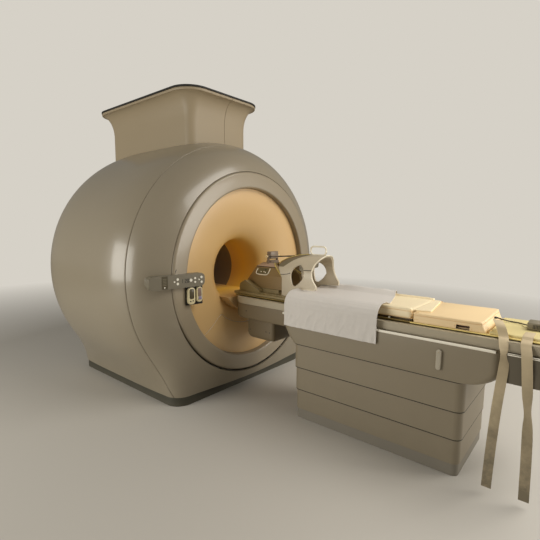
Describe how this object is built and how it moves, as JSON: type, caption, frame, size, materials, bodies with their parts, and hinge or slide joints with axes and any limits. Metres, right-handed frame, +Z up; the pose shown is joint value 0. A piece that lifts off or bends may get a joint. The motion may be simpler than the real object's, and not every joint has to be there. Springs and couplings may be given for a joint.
{
  "type": "mri scanner",
  "caption": "Closed-bore MRI scanner with a flared mouth, ceiling turret, lifting and sliding patient table, head coil, spine coil, pads and a draped sheet.",
  "frame": {"origin": "on the floor under the middle of the magnet's base", "axes": "+Z up, +Y along the bore from the table into the magnet, +X to the right seen from the table"},
  "size_m": [2.44, 4.203, 2.696],
  "materials": {
    "vacuum_vessel": "satin",
    "thermal_shield": "plain",
    "helium_vessel": "plain",
    "main_coils": "wound wire set in resin",
    "cold_head": "plain",
    "quench_pipe": "plain",
    "gradient_coil": "resin casting",
    "body_coil": "conductor strips",
    "bore_liner": "satin",
    "front_flare": "satin",
    "lower_access_panel": "satin",
    "bore_bridge": "satin",
    "face_ring": "satin",
    "front_shell": "gloss",
    "body_shell": "gloss",
    "rear_cover": "gloss",
    "skirting": "plain",
    "base_frame": "satin",
    "turret_left": "satin",
    "turret_right": "satin",
    "turret_seal": "plain",
    "operator_panel_left": "satin",
    "operator_panel_right": "satin",
    "handset_holder": "plain",
    "handsets": "satin",
    "table_plate": "plain",
    "kick_strip": "plain",
    "cover_lower": "satin",
    "cover_third": "satin",
    "cover_second": "satin",
    "cover_upper": "satin",
    "lift_outer": "satin",
    "lift_middle": "plain",
    "lift_inner": "plain",
    "table_frame": "satin",
    "table_nose": "satin",
    "docking_box": "satin",
    "foot_end_cover": "satin",
    "table_drive": "plain",
    "release_lever": "satin",
    "tabletop": "satin",
    "mattress": "smooth",
    "head_coil_base": "satin",
    "head_coil_helmet": "satin",
    "head_coil_shell": "satin",
    "head_coil_mirror": "plain",
    "spine_coil": "satin",
    "sheet": "embossed paper weave",
    "straps": "webbing",
    "coil_plug": "plain",
    "coil_lead": "plain",
    "button_1": "satin",
    "button_2": "satin",
    "button_3": "satin",
    "button_4": "satin",
    "button_5": "satin",
    "button_6": "satin",
    "button_7": "satin",
    "button_8": "satin",
    "button_9": "satin"
  },
  "bodies": {
    "magnet": {"vacuum_vessel": "vacuum_vessel", "thermal_shield": "thermal_shield", "helium_vessel": "helium_vessel", "main_coils": "main_coils", "cold_head": "cold_head", "quench_pipe": "quench_pipe", "gradient_coil": "gradient_coil", "body_coil": "body_coil", "bore_liner": "bore_liner", "front_flare": "front_flare", "lower_access_panel": "lower_access_panel", "bore_bridge": "bore_bridge", "face_ring": "face_ring", "front_shell": "front_shell", "body_shell": "body_shell", "rear_cover": "rear_cover", "skirting": "skirting", "base_frame": "base_frame", "turret_left": "turret_left", "turret_right": "turret_right", "turret_seal": "turret_seal", "operator_panel_left": "operator_panel_left", "operator_panel_right": "operator_panel_right", "handset_holder": "handset_holder", "handsets": "handsets", "table_plate": "table_plate", "kick_strip": "kick_strip", "cover_lower": "cover_lower", "lift_outer": "lift_outer"},
    "table_upper": {"cover_upper": "cover_upper", "lift_inner": "lift_inner", "table_frame": "table_frame", "table_nose": "table_nose", "docking_box": "docking_box", "foot_end_cover": "foot_end_cover", "table_drive": "table_drive"},
    "second_cover": {"cover_second": "cover_second"},
    "third_cover": {"cover_third": "cover_third"},
    "lift_middle_column": {"lift_middle": "lift_middle"},
    "table_slide": {"tabletop": "tabletop", "mattress": "mattress", "head_coil_base": "head_coil_base", "head_coil_helmet": "head_coil_helmet", "head_coil_shell": "head_coil_shell", "spine_coil": "spine_coil", "sheet": "sheet", "straps": "straps", "coil_plug": "coil_plug", "coil_lead": "coil_lead"},
    "release_lever": {"release_lever": "release_lever"},
    "head_coil_mirror": {"head_coil_mirror": "head_coil_mirror"},
    "button_1": {"button_1": "button_1"},
    "button_2": {"button_2": "button_2"},
    "button_3": {"button_3": "button_3"},
    "button_4": {"button_4": "button_4"},
    "button_5": {"button_5": "button_5"},
    "button_6": {"button_6": "button_6"},
    "button_7": {"button_7": "button_7"},
    "button_8": {"button_8": "button_8"},
    "button_9": {"button_9": "button_9"}
  },
  "joints": [
    {"name": "lift", "type": "slide", "parent": "magnet", "child": "table_upper", "axis": [0, 0, 1], "range_m": [-0.35, 0], "deforming": ["straps"]},
    {"name": "second_cover_slide", "type": "slide", "parent": "magnet", "child": "second_cover", "axis": [0, 0, 1], "range_m": [-0.2334, 0]},
    {"name": "third_cover_slide", "type": "slide", "parent": "magnet", "child": "third_cover", "axis": [0, 0, 1], "range_m": [-0.1167, 0]},
    {"name": "middle_column_slide", "type": "slide", "parent": "magnet", "child": "lift_middle_column", "axis": [0, 0, 1], "range_m": [-0.175, 0]},
    {"name": "tabletop_slide", "type": "slide", "parent": "table_upper", "child": "table_slide", "axis": [0, 1, 0], "range_m": [0, 1.6], "deforming": ["sheet"]},
    {"name": "release_lever_turn", "type": "hinge", "parent": "table_upper", "child": "release_lever", "pos_m": [-0.326, -2.65, 0.752], "axis": [1, 0, 0], "range_deg": [0, 90]},
    {"name": "mirror_tilt", "type": "hinge", "parent": "table_slide", "child": "head_coil_mirror", "pos_m": [0, -1.1, 1.215], "axis": [1, 0, 0], "range_deg": [-25, 25]},
    {"name": "button_1_press", "type": "slide", "parent": "magnet", "child": "button_1", "axis": [0.1392, 0.9903, 0], "range_m": [0, 0.002], "stiffness_N_per_m": 1500},
    {"name": "button_2_press", "type": "slide", "parent": "magnet", "child": "button_2", "axis": [0.1392, 0.9903, 0], "range_m": [0, 0.002], "stiffness_N_per_m": 1500},
    {"name": "button_3_press", "type": "slide", "parent": "magnet", "child": "button_3", "axis": [0.1392, 0.9903, 0], "range_m": [0, 0.002], "stiffness_N_per_m": 1500},
    {"name": "button_4_press", "type": "slide", "parent": "magnet", "child": "button_4", "axis": [0.1392, 0.9903, 0], "range_m": [0, 0.002], "stiffness_N_per_m": 1500},
    {"name": "button_5_press", "type": "slide", "parent": "magnet", "child": "button_5", "axis": [0.1392, 0.9903, 0], "range_m": [0, 0.002], "stiffness_N_per_m": 1500},
    {"name": "button_6_press", "type": "slide", "parent": "magnet", "child": "button_6", "axis": [0.1392, 0.9903, 0], "range_m": [0, 0.002], "stiffness_N_per_m": 1500},
    {"name": "button_7_press", "type": "slide", "parent": "magnet", "child": "button_7", "axis": [0.1392, 0.9903, 0], "range_m": [0, 0.002], "stiffness_N_per_m": 1500},
    {"name": "button_8_press", "type": "slide", "parent": "magnet", "child": "button_8", "axis": [0.1392, 0.9903, 0], "range_m": [0, 0.002], "stiffness_N_per_m": 1500},
    {"name": "button_9_press", "type": "slide", "parent": "magnet", "child": "button_9", "axis": [0.1392, 0.9903, 0], "range_m": [0, 0.002], "stiffness_N_per_m": 1500}
  ],
  "couplings": [
    {"joint": "second_cover_slide", "follows": "lift", "ratio": 0.6667},
    {"joint": "third_cover_slide", "follows": "lift", "ratio": 0.3333},
    {"joint": "middle_column_slide", "follows": "lift", "ratio": 0.5}
  ]
}
